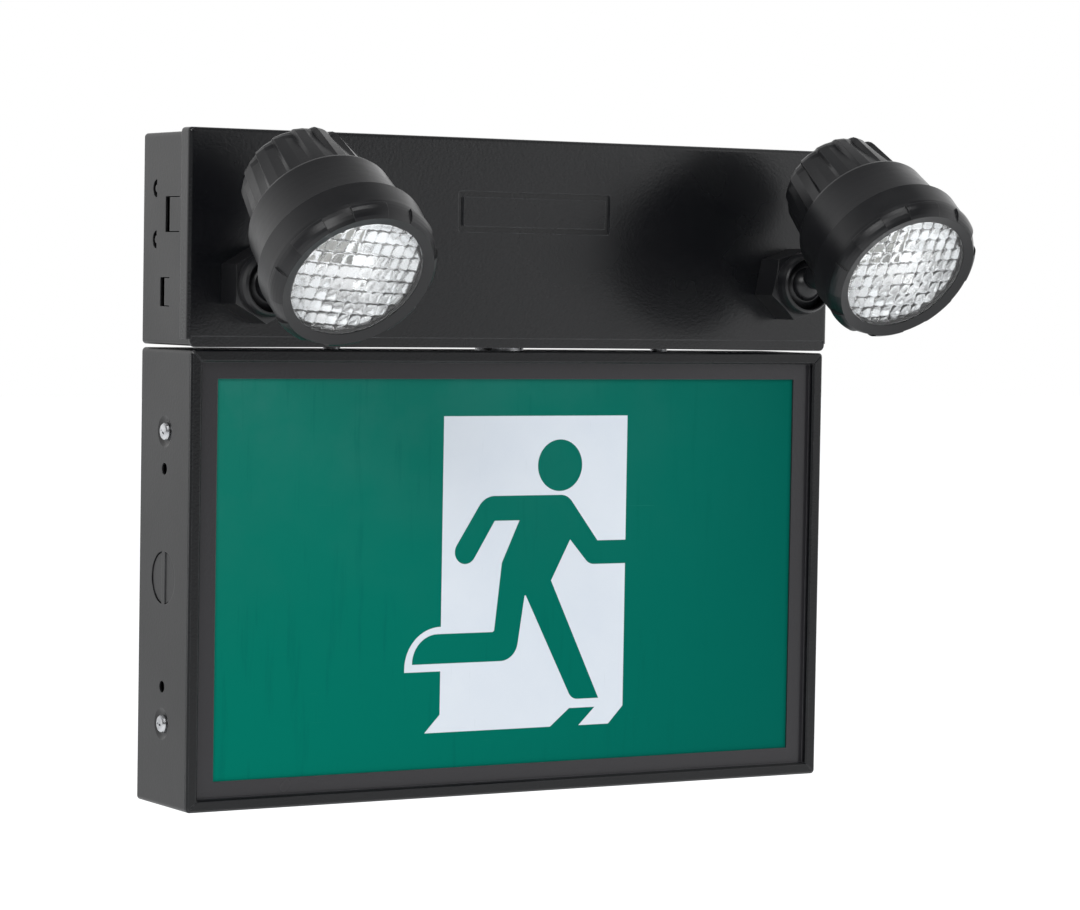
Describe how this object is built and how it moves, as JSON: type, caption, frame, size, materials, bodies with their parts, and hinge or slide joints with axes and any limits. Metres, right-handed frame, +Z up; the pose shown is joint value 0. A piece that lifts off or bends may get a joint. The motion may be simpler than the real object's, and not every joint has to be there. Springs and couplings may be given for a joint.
{
  "type": "emergency exit light",
  "caption": "Wall-mounted combination exit sign: a lit running-figure sign box under a battery housing with swivelling fluted spot heads.",
  "frame": {"origin": "centre of the four wall screw holes on the back plate's rear face", "axes": "+X to the right and +Z up as seen from the room; the wall is the plane y = 0 and the front faces -Y"},
  "size_m": [0.3362, 0.1598, 0.2858],
  "materials": {
    "front_paint": "fine orange-peel powder coat, satin",
    "side_paint": "fine orange-peel powder coat, satin",
    "back_paint": "powder coat, satin",
    "legend_green": "printed translucent film, satin",
    "diffuser": "opal, satin",
    "liner_white": "matt",
    "led_board": "solder resist",
    "zinc": "zinc plated",
    "battery_case": "moulded",
    "white_plastic": "moulded",
    "circuit_board": "solder resist",
    "transformer_core": "varnished laminations",
    "black_plastic": "moulded",
    "button_red": "moulded",
    "pilot_amber": "translucent",
    "head_plastic": "fine moulded grain",
    "clear_lens": "clear moulded prisms",
    "gasket_rubber": "matt",
    "bright_reflector": "bright metallised",
    "bulb_glass": "clear"
  },
  "bodies": {
    "fixture": {"sign_body": "side_paint", "sign_back_plate": "back_paint", "face_frame": "front_paint", "legend_film": "legend_green", "legend_panel": "diffuser", "sign_liner": "liner_white", "led_strips": "led_board", "side_screws": "zinc", "link_nipple": "zinc", "link_lock_nuts": "zinc", "link_spacers": "zinc", "link_screws": "zinc", "link_nuts": "zinc", "housing_tray": "side_paint", "housing_cover": "front_paint", "battery": "battery_case", "battery_strap": "zinc", "strap_screws": "zinc", "board_standoffs": "white_plastic", "charger_board": "circuit_board", "board_screws": "zinc", "transformer": "transformer_core", "test_switch": "black_plastic", "pilot_lamp": "pilot_amber", "left_head_nipple": "head_plastic", "left_head_lock_nut": "zinc", "left_hex_base": "head_plastic", "right_head_nipple": "head_plastic", "right_head_lock_nut": "zinc", "right_hex_base": "head_plastic"},
    "left_swivel": {"left_swivel_cup": "head_plastic"},
    "left_head": {"left_ball_stud": "head_plastic", "left_lamp_shell": "head_plastic", "left_bezel_ring": "head_plastic", "left_lens": "clear_lens", "left_gasket": "gasket_rubber", "left_reflector": "bright_reflector", "left_lamp_bulb": "bulb_glass", "left_lamp_holder": "white_plastic"},
    "right_swivel": {"right_swivel_cup": "head_plastic"},
    "right_head": {"right_ball_stud": "head_plastic", "right_lamp_shell": "head_plastic", "right_bezel_ring": "head_plastic", "right_lens": "clear_lens", "right_gasket": "gasket_rubber", "right_reflector": "bright_reflector", "right_lamp_bulb": "bulb_glass", "right_lamp_holder": "white_plastic"},
    "test_button": {"test_button": "button_red"}
  },
  "joints": [
    {"name": "left_pan", "type": "hinge", "parent": "fixture", "child": "left_swivel", "pos_m": [-0.13045, -0.063, 0.12225], "axis": [0, -1, 0], "range_deg": [-170, 170]},
    {"name": "left_tilt", "type": "hinge", "parent": "left_swivel", "child": "left_head", "pos_m": [-0.13045, -0.063, 0.12225], "axis": [1, 0, 0], "range_deg": [-18, 50]},
    {"name": "right_pan", "type": "hinge", "parent": "fixture", "child": "right_swivel", "pos_m": [0.13525, -0.063, 0.12615], "axis": [0, -1, 0], "range_deg": [-170, 170]},
    {"name": "right_tilt", "type": "hinge", "parent": "right_swivel", "child": "right_head", "pos_m": [0.13525, -0.063, 0.12615], "axis": [1, 0, 0], "range_deg": [-18, 50]},
    {"name": "test_press", "type": "slide", "parent": "fixture", "child": "test_button", "axis": [-1, 0, 0], "range_m": [0, 0.002], "stiffness_N_per_m": 350, "springref_m": -0.002}
  ]
}
